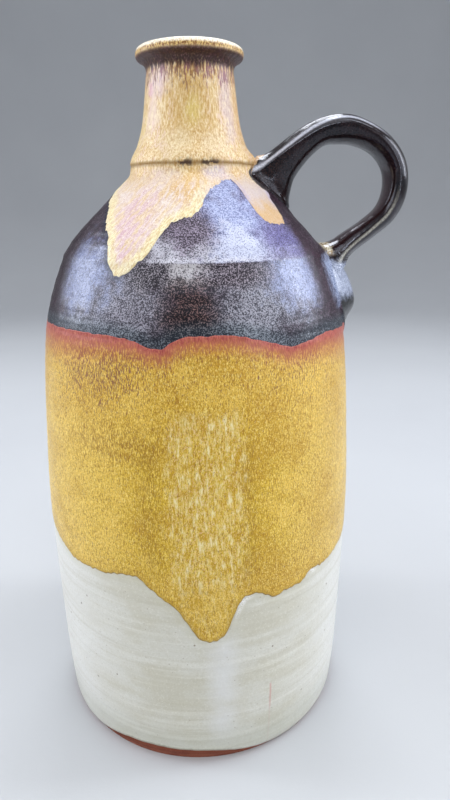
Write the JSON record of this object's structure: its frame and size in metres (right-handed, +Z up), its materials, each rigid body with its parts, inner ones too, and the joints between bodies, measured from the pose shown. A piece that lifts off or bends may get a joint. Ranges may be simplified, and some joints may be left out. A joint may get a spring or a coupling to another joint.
{
  "type": "stoneware jug",
  "caption": "Tall stoneware jug with a straight wall, domed shoulder, narrow neck and a pulled loop handle, glazed in bands of pale grey, amber, near-black and tan.",
  "frame": {"origin": "middle of the flat base, on the axis of the jug", "axes": "+Z up the axis of the jug towards the mouth, +X towards the handle, -Y towards the viewer of the picture"},
  "size_m": [0.1816, 0.1584, 0.327],
  "materials": {
    "bare_clay": "unglazed red-brown stoneware, matt",
    "dark_glazed_clay": "near-black iron glaze over clay, satin gloss",
    "pale_glaze": "pale grey-cream satin glaze with fine specks",
    "amber_glaze": "streaked amber glaze, gloss",
    "dark_glaze": "near-black iron glaze, satin gloss",
    "tan_glaze": "tan glaze with fine vertical streaks, satin",
    "liner_glaze": "plain brown-grey liner glaze"
  },
  "bodies": {
    "root": {"body": "bare_clay", "shoulder": "bare_clay", "neck": "bare_clay", "handle": "dark_glazed_clay", "handle_pad": "dark_glazed_clay", "base_glaze": "pale_glaze", "amber_glaze": "amber_glaze", "dark_glaze": "dark_glaze", "neck_glaze": "tan_glaze", "liner_glaze": "liner_glaze"}
  },
  "joints": []
}
